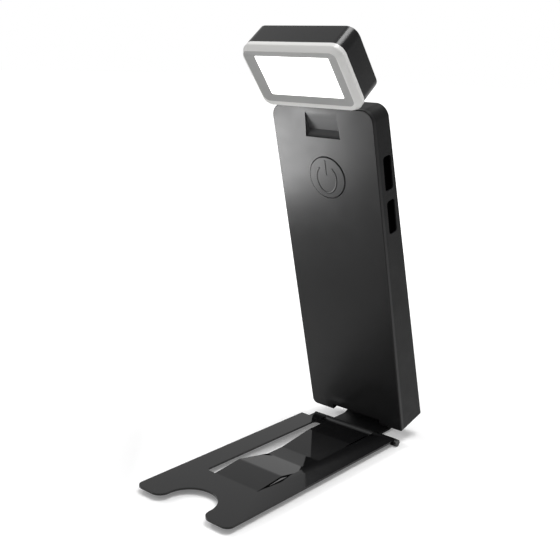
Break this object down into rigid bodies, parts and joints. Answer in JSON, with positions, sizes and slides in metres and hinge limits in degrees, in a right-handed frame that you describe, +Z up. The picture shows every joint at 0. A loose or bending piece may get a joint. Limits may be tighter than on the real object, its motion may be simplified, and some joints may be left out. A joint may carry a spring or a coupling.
{
  "type": "clip-on book light",
  "caption": "Slim battery book light that stands on its folding spring clip, with a power button, side keys and a tilting lamp head on a short swing neck.",
  "frame": {"origin": "centre of the flat sole of the hinge leaf, on the table", "axes": "+Z up, -Y to the front, where the clip plate points, +X to the side with the keys"},
  "size_m": [0.0488, 0.122, 0.1695],
  "materials": {
    "case_plastic": "fine matt texture, charcoal black",
    "button_plastic": "satin, charcoal black, with a pale power symbol",
    "neck_plastic": "satin black",
    "key_rubber": "matt black",
    "black_paint": "gloss black over spring steel",
    "bezel_plastic": "satin warm light grey",
    "diffuser_white": "smooth opal white",
    "clear_acrylic": "clear polished",
    "board_laminate": "green solder resist",
    "switch_body": "moulded black",
    "led_yellow": "phosphor yellow",
    "cell_jacket": "plain satin jacket",
    "bright_steel": "nickel plated",
    "dark_steel": "blackened"
  },
  "bodies": {
    "case": {"front_cover": "case_plastic", "rear_shell": "case_plastic", "battery_door": "case_plastic", "battery_cells": "cell_jacket", "battery_springs": "bright_steel", "contact_plates": "bright_steel", "circuit_board": "board_laminate", "power_switch": "switch_body", "side_switches": "switch_body", "driver_chip": "switch_body", "board_parts": "switch_body", "case_screws": "dark_steel", "hinge_leaf": "black_paint"},
    "clip": {"clip_plate": "black_paint", "clip_pin": "dark_steel", "clip_washers": "dark_steel"},
    "neck": {"neck_link": "neck_plastic", "neck_pin": "bright_steel"},
    "head": {"head_housing": "case_plastic", "head_bezel": "bezel_plastic", "head_pin": "bright_steel", "diffuser_panel": "diffuser_white", "light_guide": "clear_acrylic", "reflector_sheet": "diffuser_white", "led_board": "board_laminate", "leds": "led_yellow"},
    "power_button": {"power_button": "button_plastic"},
    "brightness_up_key": {"brightness_up_key": "key_rubber"},
    "brightness_down_key": {"brightness_down_key": "key_rubber"}
  },
  "joints": [
    {"name": "clip_fold", "type": "hinge", "parent": "case", "child": "clip", "pos_m": [0, -0.0076, 0.0016], "axis": [-1, 0, 0], "range_deg": [0, 75]},
    {"name": "neck_swing", "type": "hinge", "parent": "case", "child": "neck", "pos_m": [0, -0.03257, 0.13963], "axis": [1, 0, 0], "range_deg": [-75, 0]},
    {"name": "head_tilt", "type": "hinge", "parent": "neck", "child": "head", "pos_m": [0, -0.03832, 0.15002], "axis": [1, 0, 0], "range_deg": [-110, 12]},
    {"name": "power_press", "type": "slide", "parent": "case", "child": "power_button", "axis": [0, 0.9659, 0.2588], "range_m": [0, 0.0005], "stiffness_N_per_m": 1500},
    {"name": "brightness_up_press", "type": "slide", "parent": "case", "child": "brightness_up_key", "axis": [-1, 0, 0], "range_m": [0, 0.0006], "stiffness_N_per_m": 800},
    {"name": "brightness_down_press", "type": "slide", "parent": "case", "child": "brightness_down_key", "axis": [-1, 0, 0], "range_m": [0, 0.0006], "stiffness_N_per_m": 800}
  ]
}
